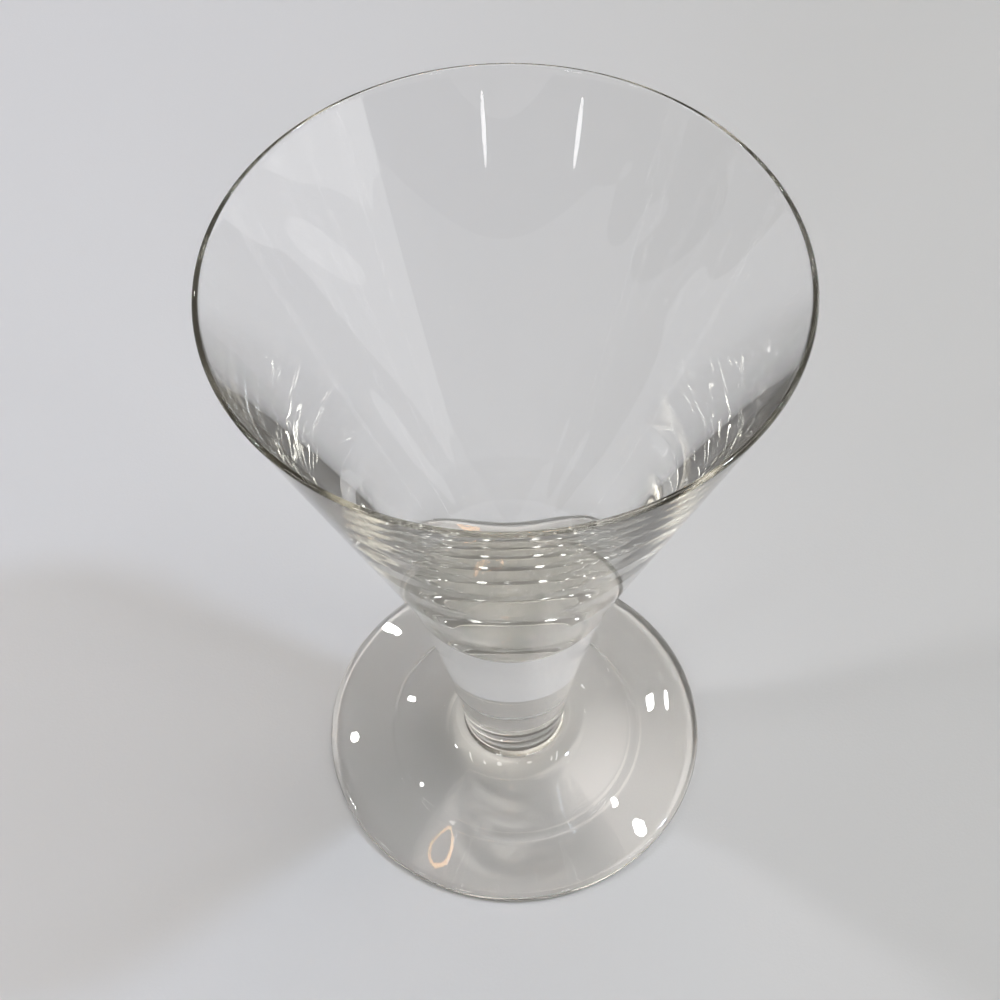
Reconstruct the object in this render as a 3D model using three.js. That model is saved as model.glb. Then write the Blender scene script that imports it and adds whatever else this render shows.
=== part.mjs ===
// Water goblet: a conical bowl, a solid tapered stem and a round foot, all turned about +Z.
// Millimetres. The origin is at the centre of the foot on the table, and +Z points up through the mouth.

import * as THREE from "three";

// Overall sizes and the bowl's straight side
const HEIGHT = 152.4;
const RIM_DIAMETER = 96;
const RIM_WALL = 1;
const SHOULDER_DIAMETER = 46.7;
const SHOULDER_HEIGHT = 77;

// Inside of the bowl: a wall that thickens downwards to a rounded floor over solid glass
const WALL_TAPER = 0.0243;
const CAVITY_LOW_SLOPE = 0.495;
const CAVITY_FLOOR_HEIGHT = 59.7;
const FLOOR_LEVEL_DIAMETER = 5.2;
const FLOOR_CORNER = 7.5;
const FLOOR_GLASS = 6;

// Stem
const WAIST_DIAMETER = 24.8;
const WAIST_HEIGHT = 22;
const WAIST_FLARE = 0.14;

// Foot
const FOOT_DIAMETER = 82.5;
const FOOT_EDGE = 2.6;
const FOOT_SLOPE = 0.084;
const NECK_FILLET = 5.8;
const CONTACT_WIDTH = 11.2;
const HOLLOW_STEP_WIDTH = 3.3;
const HOLLOW_STEP_RISE = 0.8;
const HOLLOW_RISE = 1.7;

// How far the curves' handles reach, as shares of the height that each curve spans
const CAVITY_SIDE_REACH = 0.41;
const CAVITY_LOW_REACH = 0.23;
const WAIST_REACH = 0.33;
const SHOULDER_REACH = 0.22;

// Facets round the axis and along each curve
const SIDES = 64;
const CURVE_STEPS = 14;
const CAVITY_STEPS = 18;
const CORNER_STEPS = 8;
const RIM_STEPS = 8;
const EDGE_STEPS = 8;
const FILLET_STEPS = 8;
const STEP_STEPS = 4;
const DOME_STEPS = 4;

// A point of the half section: radius from the axis, height above the table.
const at = (radius, height) => new THREE.Vector2(radius, height);

// Points on an arc from one angle to another; angles are measured from the outward radius, towards +Z.
function arc(centre, radius, from, to, steps) {
  const curve = new THREE.EllipseCurve(centre.x, centre.y, radius, radius, from, to, to < from);
  return curve.getPoints(steps);
}

// Points on a cubic curve with a start, two handles and an end.
function cubic(start, handle, otherHandle, end, steps) {
  return new THREE.CubicBezierCurve(start, handle, otherHandle, end).getPoints(steps);
}

// The rim is a full round, tangent to the bowl's straight side and to the cavity's side.
const rimRound = RIM_WALL / 2;
const rimCentre = at(RIM_DIAMETER / 2 - rimRound, HEIGHT - rimRound);
const shoulder = at(SHOULDER_DIAMETER / 2, SHOULDER_HEIGHT);
const toRim = rimCentre.clone().sub(shoulder);
const sideLean = Math.atan2(toRim.x, toRim.y) + Math.asin(rimRound / toRim.length());
const sideSlope = Math.tan(sideLean);
const cavitySlope = sideSlope + WALL_TAPER;
const cavityLean = Math.atan(cavitySlope);
const rim = arc(rimCentre, rimRound, -sideLean, Math.PI - cavityLean, RIM_STEPS);

// The cavity leaves the rim along its own slope, leans in more on its way down and closes on a rounded floor,
// which is level in the middle.
function cavity() {
  const mouth = rim.at(-1);
  const cornerCentre = at(FLOOR_LEVEL_DIAMETER / 2, CAVITY_FLOOR_HEIGHT + FLOOR_CORNER);
  const corner = arc(cornerCentre, FLOOR_CORNER, -Math.atan(CAVITY_LOW_SLOPE), -Math.PI / 2, CORNER_STEPS);
  const sideEnd = corner[0];
  const span = mouth.y - sideEnd.y;
  const high = CAVITY_SIDE_REACH * span;
  const low = CAVITY_LOW_REACH * span;
  const side = cubic(
    mouth,
    at(mouth.x - cavitySlope * high, mouth.y - high),
    at(sideEnd.x + CAVITY_LOW_SLOPE * low, sideEnd.y + low),
    sideEnd,
    CAVITY_STEPS,
  );
  return [...side, ...corner.slice(1), at(0, CAVITY_FLOOR_HEIGHT)];
}

// The foot's edge is a full round, and its top rises from there to the neck.
const edgeRound = FOOT_EDGE / 2;
const edgeCentre = at(FOOT_DIAMETER / 2 - edgeRound, edgeRound);
const footLean = Math.atan(FOOT_SLOPE);
const waist = at(WAIST_DIAMETER / 2, WAIST_HEIGHT);
const waistLean = Math.atan(WAIST_FLARE);

// The neck's fillet is tangent to the foot's top and to the straight lower stem: its centre is where lines at
// the fillet's radius from these two cross.
function neckCentre() {
  const topNormal = at(Math.sin(footLean), Math.cos(footLean));
  const stemNormal = at(Math.cos(waistLean), -Math.sin(waistLean));
  const onTop = edgeCentre.dot(topNormal) + edgeRound + NECK_FILLET;
  const onStem = waist.dot(stemNormal) + NECK_FILLET;
  const cross = topNormal.cross(stemNormal);
  return at(
    (onTop * stemNormal.y - onStem * topNormal.y) / cross,
    (topNormal.x * onStem - stemNormal.x * onTop) / cross,
  );
}

const neck = arc(
  neckCentre(),
  NECK_FILLET,
  -Math.PI / 2 - footLean,
  -Math.PI - waistLean,
  FILLET_STEPS,
);
const neckTop = neck.at(-1);

// The foot's underside: a flat ring that stands on the table, a short step up and a shallow dome to the axis.
function underside() {
  const ringInner = edgeCentre.x - CONTACT_WIDTH;
  const domeEdge = at(ringInner - HOLLOW_STEP_WIDTH, HOLLOW_STEP_RISE);
  const crown = at(0, HOLLOW_RISE);
  const half = HOLLOW_STEP_WIDTH / 2;
  const step = cubic(
    domeEdge,
    at(domeEdge.x + half, HOLLOW_STEP_RISE),
    at(ringInner - half, 0),
    at(ringInner, 0),
    STEP_STEPS,
  );
  const level = at(domeEdge.x / 2, HOLLOW_RISE);
  const dome = new THREE.QuadraticBezierCurve(crown, level, domeEdge).getPoints(DOME_STEPS);
  return [...dome, ...step.slice(1)];
}

// The outside from the neck up to the rim: a straight lower stem, one long curve and the bowl's straight side.
function outside() {
  const span = shoulder.y - waist.y;
  const low = WAIST_REACH * span;
  const high = SHOULDER_REACH * span;
  const flare = cubic(
    waist,
    at(waist.x + WAIST_FLARE * low, waist.y + low),
    at(shoulder.x - sideSlope * high, shoulder.y - high),
    shoulder,
    CURVE_STEPS,
  );
  return [neckTop, ...flare, rim[0]];
}

// Cuts a rising outline at a height. Both stretches hold the point of the cut.
function cutAt(outline, height) {
  const next = outline.findIndex((point) => point.y > height);
  const above = outline[next];
  const below = outline[next - 1];
  const cut = below.clone().lerp(above, (height - below.y) / (above.y - below.y));
  cut.y = height;
  return [
    [...outline.slice(0, next), cut],
    [cut, ...outline.slice(next)],
  ];
}

const clearGlass = { color: "#eef0f1", roughness: 0.03, metalness: 0, transparent: true, opacity: 0.35 };

// Turns a half section that starts and ends on the axis into a named piece of glass.
function turned(name, section) {
  const geometry = new THREE.LatheGeometry(section, SIDES);
  geometry.rotateX(Math.PI / 2);
  const piece = new THREE.Mesh(geometry, new THREE.MeshStandardMaterial(clearGlass));
  piece.name = name;
  return piece;
}

const bowlSeat = CAVITY_FLOOR_HEIGHT - FLOOR_GLASS;
const [stemSide, bowlSide] = cutAt(outside(), bowlSeat);
const edge = arc(edgeCentre, edgeRound, -Math.PI / 2, Math.PI / 2 - footLean, EDGE_STEPS);

const group = new THREE.Group();
group.add(
  turned("foot", [...underside(), ...edge, ...neck, at(0, neckTop.y)]),
  turned("stem", [at(0, neckTop.y), ...stemSide, at(0, bowlSeat)]),
  turned("bowl", [at(0, bowlSeat), ...bowlSide, ...rim.slice(1), ...cavity().slice(1)]),
);

export default group;
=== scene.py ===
"""Water goblet: the looks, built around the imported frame.

The goblet is three pieces of clear glass that were fused hot: a conical bowl, a solid tapered stem and a
round foot. Each one is a half section that is drawn point by point and spun about the axis. Units are
metres, Z is up, and the origin is at the centre of the foot, on the table.
"""

from __future__ import annotations

import logging
import math
from dataclasses import dataclass

import bpy
from mathutils import Euler, Matrix, Quaternion, Vector

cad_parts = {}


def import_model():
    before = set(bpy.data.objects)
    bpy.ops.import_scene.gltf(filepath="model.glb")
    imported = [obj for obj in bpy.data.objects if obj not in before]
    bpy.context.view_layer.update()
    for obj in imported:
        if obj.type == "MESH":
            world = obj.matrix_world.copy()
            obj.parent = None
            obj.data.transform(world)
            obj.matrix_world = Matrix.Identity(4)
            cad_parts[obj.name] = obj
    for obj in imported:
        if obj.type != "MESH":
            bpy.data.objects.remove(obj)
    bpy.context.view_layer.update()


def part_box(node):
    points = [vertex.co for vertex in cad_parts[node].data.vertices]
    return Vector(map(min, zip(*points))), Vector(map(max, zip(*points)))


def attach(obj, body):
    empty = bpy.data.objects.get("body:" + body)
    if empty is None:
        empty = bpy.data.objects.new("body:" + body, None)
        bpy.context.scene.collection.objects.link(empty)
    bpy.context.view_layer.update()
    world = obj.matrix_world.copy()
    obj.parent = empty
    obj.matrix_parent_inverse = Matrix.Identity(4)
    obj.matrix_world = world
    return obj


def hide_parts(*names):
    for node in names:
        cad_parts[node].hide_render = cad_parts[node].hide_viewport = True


MM = 0.001
BODY = "root"
BACKDROP = "#CFCFD1"

# Bounces of light are counted in whole numbers, so a count below this one means none.
ONE_BOUNCE = 0.5

# The wave texture turns by this many radians over one unit of its scaled space.
WAVE_RADIANS = 20

log = logging.getLogger("goblet")

# A point of a half section: radius from the axis, height above the table.
Point = tuple[float, float]


def linear(hex_colour: str) -> tuple[float, float, float, float]:
    """Turns an sRGB hex colour into linear RGBA.

    Args:
        hex_colour: six hex digits with a leading hash sign.

    Returns:
        Red, green, blue and an alpha of 1, for a shader's socket.
    """
    channels = [int(hex_colour[i : i + 2], 16) / 255 for i in (1, 3, 5)]
    red, green, blue = [c / 12.92 if c <= 0.04045 else ((c + 0.055) / 1.055) ** 2.4 for c in channels]
    return red, green, blue, 1.0


def add_node(
    tree: bpy.types.NodeTree,
    kind: str,
    inputs: dict[str | int, object] | None = None,
    **settings: object,
) -> bpy.types.Node:
    """Adds one node with its settings, values and links.

    Args:
        tree: the node tree that takes the node.
        kind: Blender's name for the type of node.
        inputs: for each input, by name or number, a value, an output socket to link, or a node whose first
            output is linked.
        settings: properties of the node itself.

    Returns:
        The new node.
    """
    node = tree.nodes.new(kind)
    for name, value in settings.items():
        setattr(node, name, value)
    for key, value in (inputs or {}).items():
        if isinstance(value, bpy.types.Node):
            tree.links.new(value.outputs[0], node.inputs[key])
        elif isinstance(value, bpy.types.NodeSocket):
            tree.links.new(value, node.inputs[key])
        else:
            node.inputs[key].default_value = value
    return node


def seen_straight(tree: bpy.types.NodeTree) -> bpy.types.Node:
    """Adds a switch for what the eye sees directly or through glass.

    Args:
        tree: the node tree that takes the nodes.

    Returns:
        A node that gives 1 for light that reaches the eye straight or bent by glass, and 0 for mirrored or
        scattered light.
    """
    path = add_node(tree, "ShaderNodeLightPath")
    mirrors = path.outputs["Glossy Depth"]
    scatters = path.outputs["Diffuse Depth"]
    bent = path.outputs["Is Transmission Ray"]
    unmirrored = add_node(tree, "ShaderNodeMath", {0: mirrors, 1: ONE_BOUNCE}, operation="LESS_THAN")
    unscattered = add_node(tree, "ShaderNodeMath", {0: scatters, 1: ONE_BOUNCE}, operation="LESS_THAN")
    through = add_node(tree, "ShaderNodeMath", {0: bent, 1: unmirrored}, operation="MULTIPLY")
    only_bent = add_node(tree, "ShaderNodeMath", {0: through, 1: unscattered}, operation="MULTIPLY")
    direct = path.outputs["Is Camera Ray"]
    return add_node(tree, "ShaderNodeMath", {0: direct, 1: only_bent}, operation="MAXIMUM")


def new_material(name: str) -> tuple[bpy.types.Material, bpy.types.NodeTree]:
    """Makes an empty node material.

    Args:
        name: what the real material is called.

    Returns:
        The material and its cleared node tree.
    """
    material = bpy.data.materials.new(name)
    material.use_nodes = True
    material.node_tree.nodes.clear()
    return material, material.node_tree


def cubic(start: Point, handle: Point, other: Point, end: Point, steps: int) -> list[Point]:
    """Points on a cubic curve.

    Args:
        start: first point.
        handle: handle of the first point.
        other: handle of the last point.
        end: last point.
        steps: number of steps along the curve.

    Returns:
        The points, both ends among them.
    """
    corners = (start, handle, other, end)
    points = []
    for i in range(steps + 1):
        t = i / steps
        weights = ((1 - t) ** 3, 3 * t * (1 - t) ** 2, 3 * t * t * (1 - t), t**3)
        points.append(tuple(sum(w * c[k] for w, c in zip(weights, corners)) for k in (0, 1)))
    return points


def arc(centre: Point, radius: float, first: float, last: float, steps: int) -> list[Point]:
    """Points on an arc.

    Args:
        centre: the arc's centre.
        radius: the arc's radius.
        first: angle where it starts, from the outward radius towards up.
        last: angle where it ends.
        steps: number of steps along the arc.

    Returns:
        The points, both ends among them.
    """
    angles = [first + (last - first) * i / steps for i in range(steps + 1)]
    return [(centre[0] + radius * math.cos(a), centre[1] + radius * math.sin(a)) for a in angles]


def line(start: Point, end: Point, steps: int) -> list[Point]:
    """Evenly spaced points on a straight line, both ends among them."""
    return [tuple(a + (b - a) * i / steps for a, b in zip(start, end)) for i in range(steps + 1)]


def joined(*stretches: list[Point]) -> list[Point]:
    """Joins stretches of a section end to end and drops the points that repeat."""
    near = 1e-7
    points: list[Point] = []
    for point in (p for stretch in stretches for p in stretch):
        if not points or math.dist(points[-1], point) > near:
            points.append(point)
    return points


@dataclass(frozen=True)
class Outline:
    """Sizes and curves that the three pieces share.

    Attributes:
        height: height of the rim, from the frame.
        rim_radius: outer radius of the rim, from the frame.
        bowl_seat: height where the bowl sits on the stem, from the frame.
        neck_height: height where the stem sits on the foot's neck, from the frame.
        foot_radius: outer radius of the foot, from the frame.
        rim_wall: thickness of the rim.
        shoulder: lower end of the bowl's straight side.
        wall_taper: how much more the cavity's side leans than the outside, as run over rise.
        waist: upper end of the stem's straight part.
        waist_flare: run over rise of the stem's straight part.
        waist_reach: reach of the long curve's lower handle, as a share of the curve's height.
        shoulder_reach: reach of its upper handle.
        flare_steps: steps along the long curve.
    """

    height: float
    rim_radius: float
    bowl_seat: float
    neck_height: float
    foot_radius: float
    rim_wall: float = 1.0 * MM
    shoulder: Point = (23.35 * MM, 77 * MM)
    wall_taper: float = 0.0243
    waist: Point = (12.4 * MM, 22 * MM)
    waist_flare: float = 0.14
    waist_reach: float = 0.33
    shoulder_reach: float = 0.22
    flare_steps: int = 150

    @classmethod
    def from_frame(cls) -> Outline:
        """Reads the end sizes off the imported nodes."""
        bowl_low, bowl_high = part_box("bowl")
        stem_low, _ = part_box("stem")
        _, foot_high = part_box("foot")
        return cls(bowl_high.z, bowl_high.x, bowl_low.z, stem_low.z, foot_high.x)

    @property
    def rim_centre(self) -> Point:
        """Centre of the rim's round edge."""
        return self.rim_radius - self.rim_wall / 2, self.height - self.rim_wall / 2

    @property
    def side_lean(self) -> float:
        """Angle between the bowl's straight side and the axis."""
        out = self.rim_centre[0] - self.shoulder[0]
        rise = self.rim_centre[1] - self.shoulder[1]
        return math.atan2(out, rise) + math.asin(self.rim_wall / 2 / math.hypot(out, rise))

    @property
    def cavity_slope(self) -> float:
        """Run over rise of the cavity's side, which leans out more than the outside does."""
        return math.tan(self.side_lean) + self.wall_taper

    @property
    def neck_radius(self) -> float:
        """Radius of the stem's lower end, where the foot's neck meets it."""
        return self.waist[0] - self.waist_flare * (self.waist[1] - self.neck_height)

    def flare(self) -> list[Point]:
        """Points on the long curve from the stem's waist to the bowl's shoulder."""
        span = self.shoulder[1] - self.waist[1]
        low = self.waist_reach * span
        high = self.shoulder_reach * span
        above_waist = (self.waist[0] + self.waist_flare * low, self.waist[1] + low)
        below_shoulder = (self.shoulder[0] - math.tan(self.side_lean) * high, self.shoulder[1] - high)
        return cubic(self.waist, above_waist, below_shoulder, self.shoulder, self.flare_steps)

    def cut_flare(self) -> tuple[list[Point], list[Point]]:
        """Cuts the long curve where the bowl sits on the stem.

        Returns:
            The stretch below the seat and the one above it. Both hold the point of the cut.
        """
        points = self.flare()
        first_above = next(i for i, p in enumerate(points) if p[1] > self.bowl_seat)
        below, above = points[first_above - 1], points[first_above]
        share = (self.bowl_seat - below[1]) / (above[1] - below[1])
        cut = (below[0] + (above[0] - below[0]) * share, self.bowl_seat)
        return points[:first_above] + [cut], [cut] + points[first_above:]


def turn(name: str, section: list[Point], sides: int) -> bpy.types.Object:
    """Draws a half section by extruding one vertex along it, then turns it about the axis.

    Args:
        name: name of the new object.
        section: points from the axis outwards. A section that ends on the axis again gives a closed body.
        sides: number of sides round the axis.

    Returns:
        The new object, at the origin, with its place in its mesh.
    """
    merge_distance = 1e-6
    bpy.ops.object.select_all(action="DESELECT")
    bpy.ops.mesh.primitive_plane_add(size=MM, location=(0, 0, 0))
    piece = bpy.context.object
    piece.name = name
    bpy.ops.object.mode_set(mode="EDIT")
    bpy.ops.mesh.merge(type="CENTER")
    bpy.ops.transform.translate(value=(section[0][0], 0, section[0][1]))
    for here, there in zip(section, section[1:]):
        step = (there[0] - here[0], 0, there[1] - here[1])
        bpy.ops.mesh.extrude_region_move(TRANSFORM_OT_translate={"value": step})
    bpy.ops.object.mode_set(mode="OBJECT")
    lathe = piece.modifiers.new("lathe", "SCREW")
    lathe.axis = "Z"
    lathe.steps = sides
    lathe.render_steps = sides
    lathe.use_merge_vertices = True
    lathe.merge_threshold = merge_distance
    bpy.ops.object.modifier_apply(modifier=lathe.name)
    bpy.ops.object.mode_set(mode="EDIT")
    bpy.ops.mesh.select_all(action="SELECT")
    bpy.ops.mesh.remove_doubles(threshold=merge_distance)
    bpy.ops.mesh.normals_make_consistent(inside=False)
    bpy.ops.object.mode_set(mode="OBJECT")
    return piece


@dataclass(frozen=True)
class ClearGlass:
    """Colourless soda-lime glass, blown and fire polished.

    It is clear and hard edged. Light that runs far inside it comes out darker and slightly olive. The tool
    leaves faint rings on the foot.

    Attributes:
        left_per_metre: shares of red, green and blue that are left after a metre of glass.
        ior: index of refraction.
        mark_spacing: from one tool mark to the next.
        mark_depth: depth of the tool marks.
        mark_height: height up to which the tool touched the glass.
    """

    left_per_metre: tuple[float, float, float] = (0.06, 0.056, 0.036)
    ior: float = 1.52
    mark_spacing: float = 2.4 * MM
    mark_depth: float = 0.0004 * MM
    mark_height: float = 12 * MM

    def tool_marks(self, tree: bpy.types.NodeTree) -> bpy.types.Node:
        """Adds the rings that the tool leaves on the foot.

        Args:
            tree: the material's node tree.

        Returns:
            A node that gives the bent surface normal.
        """
        place = add_node(tree, "ShaderNodeTexCoord").outputs["Object"]
        axes = add_node(tree, "ShaderNodeSeparateXYZ", {"Vector": place})
        scale = math.tau / WAVE_RADIANS / self.mark_spacing
        marks = add_node(
            tree,
            "ShaderNodeTexWave",
            {"Vector": place, "Scale": scale, "Distortion": 0.0},
            wave_type="RINGS",
            rings_direction="Z",
        )
        low = add_node(
            tree,
            "ShaderNodeMath",
            {0: axes.outputs["Z"], 1: self.mark_height},
            operation="LESS_THAN",
        )
        rings = add_node(tree, "ShaderNodeMath", {0: marks.outputs["Fac"], 1: low}, operation="MULTIPLY")
        return add_node(
            tree,
            "ShaderNodeBump",
            {"Height": rings, "Strength": 1.0, "Distance": self.mark_depth},
        )

    def absorbed(self, tree: bpy.types.NodeTree) -> bpy.types.Node:
        """Adds the darkening of light by the length of its way inside the glass.

        Args:
            tree: the material's node tree.

        Returns:
            A node that gives the shares of red, green and blue that are left.
        """
        length = add_node(tree, "ShaderNodeLightPath").outputs["Ray Length"]
        from_inside = add_node(tree, "ShaderNodeNewGeometry").outputs["Backfacing"]
        inside = add_node(tree, "ShaderNodeMath", {0: length, 1: from_inside}, operation="MULTIPLY")
        left = [
            add_node(tree, "ShaderNodeMath", {0: share, 1: inside}, operation="POWER")
            for share in self.left_per_metre
        ]
        return add_node(tree, "ShaderNodeCombineColor", dict(enumerate(left)))

    def material(self) -> bpy.types.Material:
        """Makes the glass material."""
        material, tree = new_material("soda_lime_glass")
        glass = add_node(
            tree,
            "ShaderNodeBsdfGlass",
            {
                "Color": self.absorbed(tree),
                "IOR": self.ior,
                "Roughness": 0.0,
                "Normal": self.tool_marks(tree),
            },
        )
        add_node(tree, "ShaderNodeOutputMaterial", {"Surface": glass})
        return material


@dataclass(frozen=True)
class FusedSeam:
    """The faces where two gathers were fused hot.

    Hot-fused glass is one body to the eye, so light crosses these faces without being bent or mirrored.
    """

    def material(self) -> bpy.types.Material:
        """Makes the seam material."""
        material, tree = new_material("hot_fused_seam")
        clear = add_node(tree, "ShaderNodeBsdfTransparent", {"Color": (1, 1, 1, 1)})
        add_node(tree, "ShaderNodeOutputMaterial", {"Surface": clear})
        return material


@dataclass(frozen=True)
class MattPaper:
    """Uncoated paper: plain and matt, with a very fine fibre.

    Its colour holds a painted falloff of light: cool white on the left, going to a slightly warmer, darker
    white on the right. Far off it turns into the plain pale backdrop, both for the eye and for what shows
    through the glass.

    Attributes:
        colour: tone on the left.
        painted_falloff_colour: tone on the right, a painted falloff of light.
        left_edge: where the painted falloff starts.
        right_edge: where it has changed.
        fibre: size of the fibre.
        fibre_relief: strength of the fibre's relief.
        fibre_detail: finer layers of the fibre.
        roughness: roughness of the surface.
        shine: strength of the faint shine.
        far_colour: tone of the backdrop.
        far_start: distance from the goblet where the backdrop starts.
        far_end: distance where the paper is all backdrop.
    """

    colour: str = "#DBDDE1"
    # Painted falloff of light: a darker, warmer white on the right
    painted_falloff_colour: str = "#D0D1D0"
    left_edge: float = -150 * MM
    right_edge: float = 150 * MM
    fibre: float = 0.6 * MM
    fibre_relief: float = 0.05
    fibre_detail: float = 2.0
    roughness: float = 0.9
    shine: float = 0.2
    far_colour: str = BACKDROP
    far_start: float = 0.5
    far_end: float = 1.4

    def sheet(self, tree: bpy.types.NodeTree, place: bpy.types.NodeSocket) -> bpy.types.Node:
        """Adds the paper itself.

        Args:
            tree: the material's node tree.
            place: the socket with the Object coordinates.

        Returns:
            The paper's shader.
        """
        axes = add_node(tree, "ShaderNodeSeparateXYZ", {"Vector": place})
        # Painted falloff of light: the paper's colour darkens and warms from left to right
        painted_falloff_share = add_node(
            tree,
            "ShaderNodeMapRange",
            {"Value": axes.outputs["X"], "From Min": self.left_edge, "From Max": self.right_edge},
            interpolation_type="SMOOTHSTEP",
        )
        tone = add_node(
            tree,
            "ShaderNodeMix",
            {"Factor": painted_falloff_share, 6: linear(self.colour), 7: linear(self.painted_falloff_colour)},
            data_type="RGBA",
        )
        fibre = add_node(
            tree,
            "ShaderNodeTexNoise",
            {"Vector": place, "Scale": 1 / self.fibre, "Detail": self.fibre_detail},
        )
        bump = add_node(
            tree,
            "ShaderNodeBump",
            {"Height": fibre.outputs["Fac"], "Strength": self.fibre_relief, "Distance": self.fibre},
        )
        return add_node(
            tree,
            "ShaderNodeBsdfPrincipled",
            {
                "Base Color": tone.outputs[2],
                "Roughness": self.roughness,
                "Specular IOR Level": self.shine,
                "Normal": bump,
            },
        )

    def material(self) -> bpy.types.Material:
        """Makes the paper material."""
        material, tree = new_material("matt_paper")
        material.cycles.emission_sampling = "NONE"
        place = add_node(tree, "ShaderNodeTexCoord").outputs["Object"]
        paper = self.sheet(tree, place)
        distance = add_node(tree, "ShaderNodeVectorMath", {0: place}, operation="LENGTH").outputs["Value"]
        far = add_node(
            tree,
            "ShaderNodeMapRange",
            {"Value": distance, "From Min": self.far_start, "From Max": self.far_end},
            interpolation_type="SMOOTHSTEP",
        )
        pale = add_node(tree, "ShaderNodeEmission", {"Color": linear(self.far_colour), "Strength": 1.0})
        share = add_node(tree, "ShaderNodeMath", {0: far, 1: seen_straight(tree)}, operation="MULTIPLY")
        sweep = add_node(tree, "ShaderNodeMixShader", {0: share, 1: paper, 2: pale})
        add_node(tree, "ShaderNodeOutputMaterial", {"Surface": sweep})
        return material


@dataclass
class TurnedPiece:
    """A piece of glass turned about the goblet's axis.

    Attributes:
        outline: sizes that the pieces share.
        name: name of the piece's object.
        node: the CAD node that the piece replaces.
        sides: number of sides round the axis.
    """

    outline: Outline
    name: str = ""
    node: str = ""
    sides: int = 256

    def section(self) -> list[Point]:
        """Half section of the piece, from the axis round the outside and back to the axis."""
        raise NotImplementedError

    def seams(self) -> list[float]:
        """Heights of the flat faces that are fused to a neighbour."""
        raise NotImplementedError

    def build(self) -> bpy.types.Object:
        """Models the piece and puts it in the place of its node.

        Returns:
            The finished mesh object.
        """
        crease = math.radians(40)
        piece = turn(self.name, self.section(), self.sides)
        bpy.ops.object.shade_smooth_by_angle(angle=crease)
        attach(piece, BODY)
        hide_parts(self.node)
        return piece

    def dress(self, piece: bpy.types.Object, glass: bpy.types.Material, seam: bpy.types.Material) -> None:
        """Gives the piece its glass and its fused faces.

        Args:
            piece: the modelled piece.
            glass: material of the outside.
            seam: material of the faces that are fused to a neighbour.
        """
        near = 1e-6
        upright = 0.999
        piece.data.materials.append(glass)
        piece.data.materials.append(seam)
        for face in piece.data.polygons:
            level = abs(face.normal.z) > upright
            fused = any(abs(face.center.z - height) < near for height in self.seams())
            face.material_index = int(level and fused)


@dataclass
class Bowl(TurnedPiece):
    """The conical cup: a thin round rim, and a wall that thickens down to a rounded floor over solid glass.

    Attributes:
        floor_glass: solid glass between the cavity's floor and the stem.
        floor_level_radius: radius of the floor's level middle.
        floor_corner: radius of the round corner between floor and side.
        cavity_low_slope: run over rise of the cavity's side where it meets the corner.
        cavity_side_reach: reach of the side's upper handle, as a share of the side's height.
        cavity_low_reach: reach of its lower handle.
        corner_steps: steps along the corner.
        cavity_steps: steps along the cavity's side.
        floor_steps: steps along the level floor.
        rim_steps: steps round the rim.
        side_steps: steps along the straight outside.
    """

    name: str = "bowl_glass"
    node: str = "bowl"
    floor_glass: float = 6 * MM
    floor_level_radius: float = 2.6 * MM
    floor_corner: float = 7.5 * MM
    cavity_low_slope: float = 0.495
    cavity_side_reach: float = 0.41
    cavity_low_reach: float = 0.23
    corner_steps: int = 48
    cavity_steps: int = 120
    floor_steps: int = 6
    rim_steps: int = 24
    side_steps: int = 60

    def seams(self) -> list[float]:
        """The bowl sits on the stem."""
        return [self.outline.bowl_seat]

    def cavity(self, mouth: Point) -> list[Point]:
        """The inside: a side that leans in more on its way down, and a rounded floor, level in the middle.

        Args:
            mouth: where the rim's round edge ends.

        Returns:
            Points from the mouth down to the axis.
        """
        shape = self.outline
        floor = shape.bowl_seat + self.floor_glass
        centre = (self.floor_level_radius, floor + self.floor_corner)
        corner_start = -math.atan(self.cavity_low_slope)
        corner = arc(centre, self.floor_corner, corner_start, -math.pi / 2, self.corner_steps)
        side_end = corner[0]
        span = mouth[1] - side_end[1]
        high = self.cavity_side_reach * span
        low = self.cavity_low_reach * span
        below_mouth = (mouth[0] - shape.cavity_slope * high, mouth[1] - high)
        above_corner = (side_end[0] + self.cavity_low_slope * low, side_end[1] + low)
        side = cubic(mouth, below_mouth, above_corner, side_end, self.cavity_steps)
        return joined(side, corner, line(corner[-1], (0, floor), self.floor_steps))

    def section(self) -> list[Point]:
        """Half section of the bowl."""
        shape = self.outline
        _, shoulder_curve = shape.cut_flare()
        rim_end = math.pi - math.atan(shape.cavity_slope)
        rim = arc(shape.rim_centre, shape.rim_wall / 2, -shape.side_lean, rim_end, self.rim_steps)
        side = line(shape.shoulder, rim[0], self.side_steps)
        return joined([(0, shape.bowl_seat)], shoulder_curve, side, rim, self.cavity(rim[-1]))


@dataclass
class Stem(TurnedPiece):
    """The solid column between foot and bowl.

    Attributes:
        lower_steps: steps along the straight lower part.
    """

    name: str = "stem_glass"
    node: str = "stem"
    lower_steps: int = 24

    def seams(self) -> list[float]:
        """The stem is fused to the foot's neck and to the bowl."""
        return [self.outline.neck_height, self.outline.bowl_seat]

    def section(self) -> list[Point]:
        """Half section of the stem."""
        shape = self.outline
        lower_curve, _ = shape.cut_flare()
        lower = line((shape.neck_radius, shape.neck_height), shape.waist, self.lower_steps)
        return joined([(0, shape.neck_height)], lower, lower_curve, [(0, shape.bowl_seat)])


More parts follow.
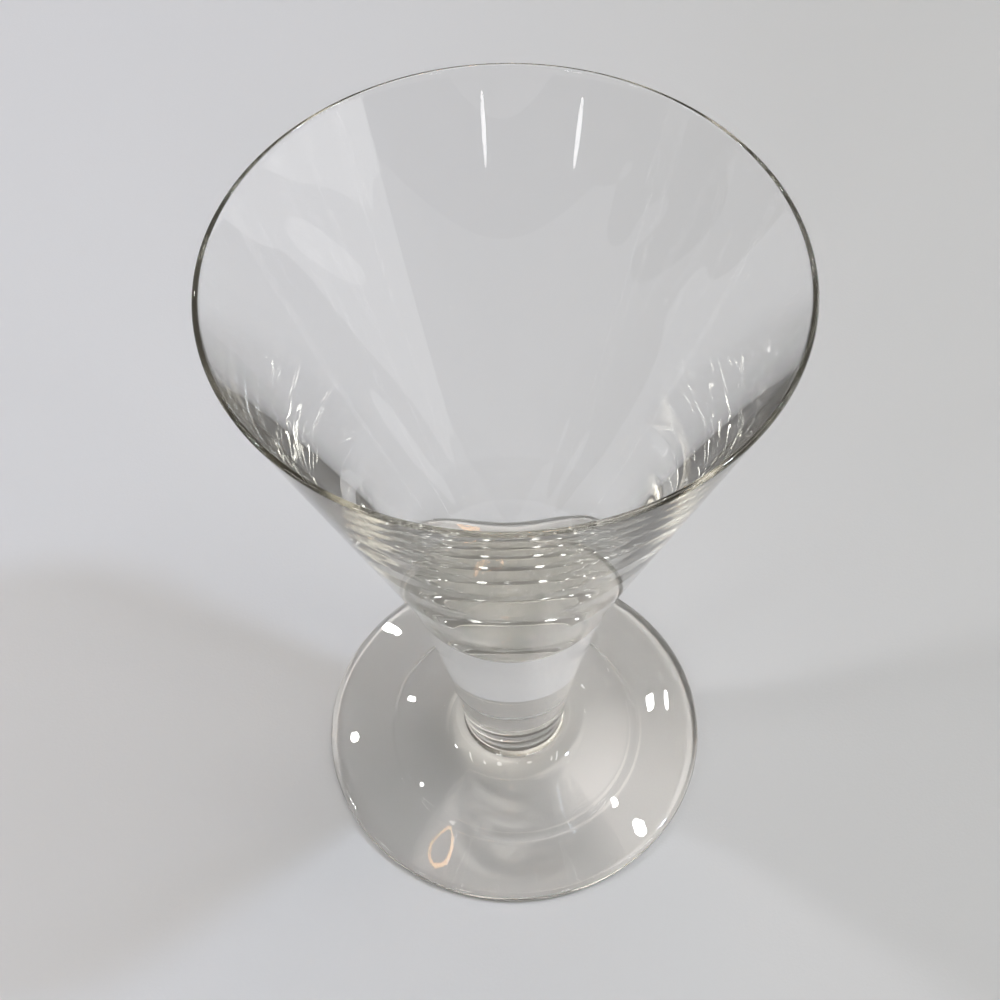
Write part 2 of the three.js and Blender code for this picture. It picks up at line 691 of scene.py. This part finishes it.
@dataclass
class Foot(TurnedPiece):
    """The round base: a concave neck, a thin rounded edge, a flat contact ring and a shallow hollow.

    Attributes:
        edge: thickness of the round edge.
        top_slope: rise over run of the top.
        neck_fillet: radius of the concave neck.
        contact_width: width of the flat ring underneath.
        hollow_step: width and rise of the step from the ring to the dome.
        hollow_rise: height of the dome's crown.
        neck_steps: steps along the neck.
        dome_steps: steps along the dome.
        hollow_steps: steps along the step beside the dome.
        ring_steps: steps across the flat ring.
        edge_steps: steps round the edge.
        top_steps: steps along the top.
    """

    name: str = "foot_glass"
    node: str = "foot"
    edge: float = 2.6 * MM
    top_slope: float = 0.084
    neck_fillet: float = 5.8 * MM
    contact_width: float = 11.2 * MM
    hollow_step: Point = (3.3 * MM, 0.8 * MM)
    hollow_rise: float = 1.7 * MM
    neck_steps: int = 96
    dome_steps: int = 48
    hollow_steps: int = 32
    ring_steps: int = 12
    edge_steps: int = 48
    top_steps: int = 60

    @property
    def ring_outer(self) -> float:
        """Outer radius of the flat ring, under the centre of the round edge."""
        return self.outline.foot_radius - self.edge / 2

    def seams(self) -> list[float]:
        """The foot's neck is fused to the stem."""
        return [self.outline.neck_height]

    def neck(self) -> list[Point]:
        """The fillet from the foot's top up to the stem, tangent to both."""
        shape = self.outline
        stem_lean = math.atan(shape.waist_flare)
        top_lean = math.atan(self.top_slope)
        out = self.neck_fillet * math.cos(stem_lean)
        down = self.neck_fillet * math.sin(stem_lean)
        centre = (shape.neck_radius + out, shape.neck_height - down)
        low_end = -math.pi / 2 - top_lean
        return arc(centre, self.neck_fillet, low_end, -math.pi - stem_lean, self.neck_steps)

    def underside(self) -> list[Point]:
        """The shallow dome, the short step round it and the flat ring that stands on the table."""
        third = 1 / 3
        ring_inner = self.ring_outer - self.contact_width
        width, rise = self.hollow_step
        dome_edge = (ring_inner - width, rise)
        crown = (0, self.hollow_rise)
        level = (dome_edge[0] * third, self.hollow_rise)
        falling = (dome_edge[0] * 2 * third, rise + (self.hollow_rise - rise) * 2 * third)
        dome = cubic(crown, level, falling, dome_edge, self.dome_steps)
        beside_dome = (dome_edge[0] + width / 2, rise)
        beside_ring = (ring_inner - width / 2, 0)
        step = cubic(dome_edge, beside_dome, beside_ring, (ring_inner, 0), self.hollow_steps)
        return joined(dome, step, line((ring_inner, 0), (self.ring_outer, 0), self.ring_steps))

    def section(self) -> list[Point]:
        """Half section of the foot."""
        centre = (self.ring_outer, self.edge / 2)
        edge_end = math.pi / 2 - math.atan(self.top_slope)
        rounded = arc(centre, self.edge / 2, -math.pi / 2, edge_end, self.edge_steps)
        neck = self.neck()
        top = line(rounded[-1], neck[0], self.top_steps)
        return joined(self.underside(), rounded, top, neck, [(0, self.outline.neck_height)])


def direction(azimuth: float, elevation: float) -> Vector:
    """Unit vector from the goblet.

    Args:
        azimuth: degrees from +Y towards +X.
        elevation: degrees above the table.

    Returns:
        The direction.
    """
    turned = math.radians(azimuth)
    raised = math.radians(elevation)
    level = math.cos(raised)
    return Vector((math.sin(turned) * level, math.cos(turned) * level, math.sin(raised)))


def facing(away: Vector, tilt: float) -> Euler:
    """Rotation of a lamp that looks at the goblet.

    Args:
        away: direction from the goblet to the lamp.
        tilt: degrees that the lamp is turned about that line, its top towards +X.

    Returns:
        The rotation for the lamp's object.
    """
    upright = away.to_track_quat("Z", "Y")
    return (upright @ Quaternion((0, 0, 1), math.radians(tilt))).to_euler()


@dataclass(frozen=True)
class Lamp:
    """A lamp of the studio, placed as seen from the goblet.

    Attributes:
        azimuth: degrees from +Y towards +X.
        elevation: degrees above the table.
        width: metres across.
        height: metres from top to bottom.
        radiance: brightness of the lamp's face, where white paper in full light is 1.
        colour: sRGB hex colour.
        tilt: degrees that the oval is turned, its top towards +X.
        distance: metres from the foot.
    """

    azimuth: float
    elevation: float
    width: float
    height: float
    radiance: float
    colour: str = "#FFFFFF"
    tilt: float = 0.0
    distance: float = 1.6

    def place(self, name: str) -> None:
        """Adds the lamp to the scene.

        Args:
            name: name of the lamp's object.
        """
        data = bpy.data.lights.new(name, "AREA")
        data.shape = "ELLIPSE"
        data.size = self.width
        data.size_y = self.height
        face = math.pi * self.width * self.height / 4
        data.energy = self.radiance * math.pi * face
        data.color = linear(self.colour)[:3]
        away = direction(self.azimuth, self.elevation)
        lamp = bpy.data.objects.new(name, data)
        lamp.location = away * self.distance
        lamp.rotation_euler = facing(away, self.tilt)
        bpy.context.scene.collection.objects.link(lamp)


@dataclass(frozen=True)
class RingLamp:
    """A warm ring-shaped ceiling lamp, which the foot mirrors as a bright loop.

    Attributes:
        azimuth: degrees from +Y towards +X.
        elevation: degrees above the table.
        distance: metres from the foot.
        radius: radius of the ring before it is stretched.
        stretch: length of the oval ring over its width.
        tilt: degrees that the oval is turned, its top towards +X.
        tube: radius of the glowing tube.
        colour: sRGB hex colour.
        radiance: brightness of the tube, where white paper in full light is 1.
        ring_segments: segments round the ring.
        tube_segments: segments round the tube.
    """

    azimuth: float = 8.0
    elevation: float = 71.8
    distance: float = 1.6
    radius: float = 40 * MM
    stretch: float = 1.7
    tilt: float = 15.0
    tube: float = 5 * MM
    colour: str = "#FFC894"
    radiance: float = 26.0
    ring_segments: int = 64
    tube_segments: int = 12

    def material(self) -> bpy.types.Material:
        """Makes the tube's even warm glow."""
        material, tree = new_material("glowing_ring")
        glow = add_node(
            tree,
            "ShaderNodeEmission",
            {"Color": linear(self.colour), "Strength": self.radiance},
        )
        add_node(tree, "ShaderNodeOutputMaterial", {"Surface": glow})
        return material

    def build(self) -> None:
        """Models the ring and makes it glow."""
        away = direction(self.azimuth, self.elevation)
        bpy.ops.object.select_all(action="DESELECT")
        bpy.ops.mesh.primitive_torus_add(
            location=away * self.distance,
            rotation=facing(away, self.tilt),
            major_radius=self.radius,
            minor_radius=self.tube,
            major_segments=self.ring_segments,
            minor_segments=self.tube_segments,
        )
        ring = bpy.context.object
        ring.name = "ring_lamp"
        ring.scale = (1.0, self.stretch, 1.0)
        bpy.ops.object.shade_smooth()
        ring.data.materials.append(self.material())


@dataclass(frozen=True)
class PaintedReflectionSurround:
    """Painted reflections round the paper, seen in mirrored light only: a dark area with wavy edges, painted
    shade in front, and a painted bright patch on the right.

    Attributes:
        size: metres across.
        lift: height over the paper.
        paper_left: where the paper ends on the left.
        paper_right: where the painted bright patch begins on the right.
        paper_front: where the painted shade begins in front.
        dark_reflection_front: where the dark area begins in front.
        turn: degrees from +Y towards +X of the straight edge between the painted bright patch and the painted
            shade.
        wave: length of the dark area's waves.
        wave_height: how far the waves reach.
        painted_shade_colour: tone of the painted shade in front.
        dark_reflection_colour: tone of the dark area, a painted dark reflection.
        bright: brightness of the painted bright patch on the right, where white paper in full light is 1.
    """

    size: float = 4.2
    lift: float = 1 * MM
    paper_left: float = -0.29
    paper_right: float = 0.33
    paper_front: float = -0.33
    dark_reflection_front: float = -0.9
    turn: float = 132.0
    wave: float = 0.16
    wave_height: float = 0.45
    # Painted shade in front, seen only in mirrored light
    painted_shade_colour: str = "#707072"
    # A painted dark reflection round the paper, seen only in mirrored light
    dark_reflection_colour: str = "#2C2C2E"
    # Painted bright reflection on the right: it glows, but is no lamp
    bright: float = 1.5

    def material(self) -> bpy.types.Material:
        """Makes the painted reflections, which are clear where the paper lies."""
        material, tree = new_material("painted_reflections_round_paper")
        place = add_node(tree, "ShaderNodeTexCoord").outputs["Object"]
        noise = add_node(tree, "ShaderNodeTexNoise", {"Vector": place, "Scale": 1 / self.wave, "Detail": 0.0})
        swing = add_node(
            tree,
            "ShaderNodeMath",
            {0: noise.outputs["Fac"], 1: self.wave_height, 2: -self.wave_height / 2},
            operation="MULTIPLY_ADD",
        )
        axes = add_node(tree, "ShaderNodeSeparateXYZ", {"Vector": place})
        y = axes.outputs["Y"]
        across = add_node(tree, "ShaderNodeMath", {0: axes.outputs["X"], 1: swing}, operation="ADD")
        along = add_node(tree, "ShaderNodeMath", {0: y, 1: swing}, operation="ADD")
        turned = math.radians(self.turn)
        side = add_node(
            tree,
            "ShaderNodeVectorMath",
            {0: place, 1: (math.cos(turned), -math.sin(turned), 0)},
            operation="DOT_PRODUCT",
        ).outputs["Value"]
        mirrors = add_node(tree, "ShaderNodeLightPath").outputs["Glossy Depth"]
        mirrored = add_node(tree, "ShaderNodeMath", {0: mirrors, 1: ONE_BOUNCE}, operation="GREATER_THAN")

        # Painted reflections: the dark area, and painted shade in front
        left = add_node(tree, "ShaderNodeMath", {0: across, 1: self.paper_left}, operation="LESS_THAN")
        far_front = add_node(tree, "ShaderNodeMath", {0: along, 1: self.dark_reflection_front}, operation="LESS_THAN")
        in_dark_reflection = add_node(tree, "ShaderNodeMath", {0: left, 1: far_front}, operation="MAXIMUM")
        front = add_node(tree, "ShaderNodeMath", {0: y, 1: self.paper_front}, operation="LESS_THAN")
        painted_shade_side = add_node(tree, "ShaderNodeMath", {0: side, 1: 0.0}, operation="GREATER_THAN")
        painted_shade_part = add_node(tree, "ShaderNodeMath", {0: painted_shade_side, 1: front}, operation="MULTIPLY")
        covered = add_node(tree, "ShaderNodeMath", {0: left, 1: painted_shade_part}, operation="MAXIMUM")
        dark = add_node(tree, "ShaderNodeMath", {0: mirrored, 1: covered}, operation="MULTIPLY")

        # A painted bright reflection on the right
        painted_light_side = add_node(tree, "ShaderNodeMath", {0: side, 1: 0.0}, operation="LESS_THAN")
        right = add_node(tree, "ShaderNodeMath", {0: across, 1: self.paper_right}, operation="GREATER_THAN")
        painted_light_part = add_node(tree, "ShaderNodeMath", {0: painted_light_side, 1: right}, operation="MULTIPLY")
        painted_light = add_node(tree, "ShaderNodeMath", {0: mirrored, 1: painted_light_part}, operation="MULTIPLY")

        tone = add_node(
            tree,
            "ShaderNodeMix",
            {"Factor": in_dark_reflection, 6: linear(self.painted_shade_colour), 7: linear(self.dark_reflection_colour)},
            data_type="RGBA",
        )
        painted_reflection = add_node(tree, "ShaderNodeBsdfDiffuse", {"Color": tone.outputs[2]})
        clear = add_node(tree, "ShaderNodeBsdfTransparent")
        # Painted light: a glow that is no lamp, seen only in mirrored light
        glow = add_node(tree, "ShaderNodeEmission", {"Strength": self.bright})
        unlit = add_node(tree, "ShaderNodeMixShader", {0: dark, 1: clear, 2: painted_reflection})
        table = add_node(tree, "ShaderNodeMixShader", {0: painted_light, 1: unlit, 2: glow})
        add_node(tree, "ShaderNodeOutputMaterial", {"Surface": table})
        return material

    def build(self) -> None:
        """Lays the painted reflections just over the paper."""
        bpy.ops.object.select_all(action="DESELECT")
        bpy.ops.mesh.primitive_plane_add(size=self.size, location=(0, 0, self.lift))
        painted_reflection = bpy.context.object
        painted_reflection.name = "painted_reflection_surround"
        painted_reflection.data.materials.append(self.material())
        # Seen only in mirrored light: a card of painted reflections
        painted_reflection.visible_camera = False
        painted_reflection.visible_diffuse = False
        painted_reflection.visible_shadow = False


@dataclass
class Studio:
    """The pale paper sweep, the soft light of the room and the small lamps that glint in the glass.

    Attributes:
        floor_drop: gap between the goblet and the paper.
        floor_radius: metres from the goblet to the wall.
        wall_height: height of the wall.
        wall_curve: radius of the curve from the floor up to the wall.
        curve_steps: steps along that curve.
        floor_sides: sides of the sweep round the goblet.
        ceiling_azimuth: degrees from +Y towards +X of the bright patch of ceiling.
        ceiling_elevation: degrees above the table of its middle.
        room_bands: colours of the room by degrees from the middle of that patch.
        room_strength: brightness of the patch, where white paper in full light is 1.
        lamps: all the lamps but the ring.
    """

    floor_drop: float = 0.15 * MM
    floor_radius: float = 2.5
    wall_height: float = 0.31
    wall_curve: float = 0.3
    curve_steps: int = 24
    floor_sides: int = 96
    ceiling_azimuth: float = 68.0
    ceiling_elevation: float = 72.0
    room_bands: tuple[tuple[float, str], ...] = (
        (0.0, "#FFFBF5"),
        (14.0, "#FFF9F2"),
        (24.0, "#32302D"),
        (120.0, "#32302D"),
    )
    room_strength: float = 4.0
    lamps: tuple[Lamp, ...] = (
        # Main lamps, right and left
        Lamp(86, 58, 0.09, 0.09, 185, "#D6E6FF", distance=1.4),
        Lamp(-78, 51, 0.09, 0.09, 130, "#F8F8FF", distance=1.4),
        # Larger, fainter lamps in front and beside, for the reflections in the bowl
        Lamp(158, 16, 0.2, 0.36, 7),
        Lamp(-156, 20, 0.2, 0.5, 7),
        Lamp(122, 36, 0.1, 0.4, 8),
        Lamp(-133, 34, 0.1, 0.4, 8),
        Lamp(177, 9, 0.12, 0.1, 8),
        Lamp(112, 40, 0.06, 0.8, 12),
        Lamp(-108, 40, 0.06, 0.8, 12),
        # Small lamps low in front
        Lamp(173.5, 0.6, 0.045, 0.035, 10, distance=1.75),
        Lamp(-151.5, 1.1, 0.04, 0.028, 14, distance=1.3),
        # Small lamps on the far side, which the foot mirrors as dots
        Lamp(-17.4, 50.9, 0.03, 0.02, 70),
        Lamp(-22.8, 56.9, 0.008, 0.022, 60, tilt=-31),
        Lamp(-31.0, 59.8, 0.007, 0.029, 60, tilt=-28),
        Lamp(26.5, 57.5, 0.007, 0.058, 60, tilt=30),
        Lamp(27.5, 57.1, 0.007, 0.06, 60, tilt=31),
        Lamp(31.9, 69.8, 0.01, 0.028, 60),
        Lamp(35.8, 70.2, 0.016, 0.04, 60),
        Lamp(-30.5, 68.0, 0.006, 0.016, 60),
        Lamp(10.5, 59.4, 0.012, 0.012, 60),
        Lamp(26.2, 72.6, 0.012, 0.012, 60),
    )

    def build_floor(self) -> None:
        """Models the sweep: a flat round table of paper that curves up to a low wall far off."""
        curve_centre = (self.floor_radius - self.wall_curve, self.wall_curve - self.floor_drop)
        turned_up = arc(curve_centre, self.wall_curve, -math.pi / 2, 0, self.curve_steps)
        wall_top = (self.floor_radius, self.wall_height)
        section = joined([(0, -self.floor_drop)], turned_up, [wall_top])
        floor = turn("paper_sweep", section, self.floor_sides)
        bpy.ops.object.shade_smooth()
        floor.data.materials.append(MattPaper().material())

    def build_room(self) -> None:
        """Makes the room's light, a bright patch of ceiling over dark walls, and the eye's pale backdrop."""
        half_turn = 180
        world = bpy.data.worlds.new("room_light")
        bpy.context.scene.world = world
        world.use_nodes = True
        tree = world.node_tree
        tree.nodes.clear()
        look = add_node(tree, "ShaderNodeTexCoord").outputs["Generated"]
        ceiling = direction(self.ceiling_azimuth, self.ceiling_elevation)
        toward = add_node(tree, "ShaderNodeVectorMath", {0: look, 1: ceiling}, operation="DOT_PRODUCT")
        away = add_node(tree, "ShaderNodeMath", {0: toward.outputs["Value"]}, operation="ARCCOSINE")
        share = add_node(tree, "ShaderNodeMath", {0: away, 1: math.pi}, operation="DIVIDE")
        ramp = add_node(tree, "ShaderNodeValToRGB", {"Fac": share})
        elements = ramp.color_ramp.elements
        while len(elements) < len(self.room_bands):
            elements.new(1.0)
        for element, (angle, colour) in zip(elements, self.room_bands):
            element.position = angle / half_turn
            element.color = linear(colour)
        light = add_node(tree, "ShaderNodeBackground", {"Color": ramp, "Strength": self.room_strength})
        pale = add_node(tree, "ShaderNodeBackground", {"Color": linear(BACKDROP), "Strength": 1.0})
        seen = add_node(tree, "ShaderNodeMixShader", {0: seen_straight(tree), 1: light, 2: pale})
        add_node(tree, "ShaderNodeOutputWorld", {"Surface": seen})

    def build(self) -> None:
        """Builds the floor, the room, the lamps and the painted reflections round the paper."""
        self.build_floor()
        self.build_room()
        for number, lamp in enumerate(self.lamps, start=1):
            lamp.place(f"lamp_{number}")
        RingLamp().build()
        PaintedReflectionSurround().build()
        log.info("studio with %d lamps", len(self.lamps) + 1)


@dataclass(frozen=True)
class PhotoCamera:
    """The camera at the photograph's view, from above the near side of the rim.

    Attributes:
        back: distance in front of the goblet's axis.
        height: height above the table.
        yaw: degrees from +Y towards +X that it looks.
        pitch: degrees below level that it looks.
        roll: degrees that it is turned about its line of sight.
        lens: focal length in millimetres.
        sensor: width of the sensor in millimetres.
        clip_start: nearest distance that it sees.
    """

    back: float = 178.2 * MM
    height: float = 351.1 * MM
    yaw: float = -0.55
    pitch: float = 55.55
    roll: float = -1.68
    lens: float = 62.1
    sensor: float = 36.0
    clip_start: float = 10 * MM

    def build(self) -> None:
        """Adds the camera and makes it the scene's own."""
        quarter_turn = 90
        roll = math.radians(self.roll)
        ahead = direction(self.yaw, -self.pitch)
        level = direction(self.yaw + quarter_turn, 0)
        upright = level.cross(ahead)
        right = math.cos(roll) * level + math.sin(roll) * upright
        up = math.cos(roll) * upright - math.sin(roll) * level
        pose = Matrix((right, up, -ahead)).transposed().to_4x4()
        pose.translation = (0, -self.back, self.height)
        data = bpy.data.cameras.new("photo_camera")
        data.lens = self.lens
        data.sensor_width = self.sensor
        data.clip_start = self.clip_start
        camera = bpy.data.objects.new("photo_camera", data)
        camera.matrix_world = pose
        bpy.context.scene.collection.objects.link(camera)
        bpy.context.scene.camera = camera


@dataclass(frozen=True)
class LightPaths:
    """How often light may meet a face on its way: many times, because it runs to and fro inside the glass.

    Attributes:
        total: bounces of all kinds.
        through_glass: bounces that bend light into or out of glass.
        mirrored: bounces that mirror light.
        through_seams: clear faces that light crosses unbent.
    """

    total: int = 96
    through_glass: int = 96
    mirrored: int = 64
    through_seams: int = 32

    def apply(self) -> None:
        """Sets the counts, keeps mirrored light sharp and keeps the plain view transform."""
        scene = bpy.context.scene
        scene.view_settings.view_transform = "Standard"
        scene.cycles.max_bounces = self.total
        scene.cycles.transmission_bounces = self.through_glass
        scene.cycles.glossy_bounces = self.mirrored
        scene.cycles.transparent_max_bounces = self.through_seams
        scene.cycles.blur_glossy = 0.0


def main() -> None:
    """Builds the goblet around its frame, then the studio and the camera."""
    logging.basicConfig(level=logging.INFO, format="%(name)s: %(message)s")
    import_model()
    outline = Outline.from_frame()
    glass = ClearGlass().material()
    seam = FusedSeam().material()
    for maker in (Bowl(outline), Stem(outline), Foot(outline)):
        piece = maker.build()
        maker.dress(piece, glass, seam)
        log.info("%s: %d faces", piece.name, len(piece.data.polygons))
    Studio().build()
    PhotoCamera().build()
    LightPaths().apply()


if __name__ == "__main__":
    main()
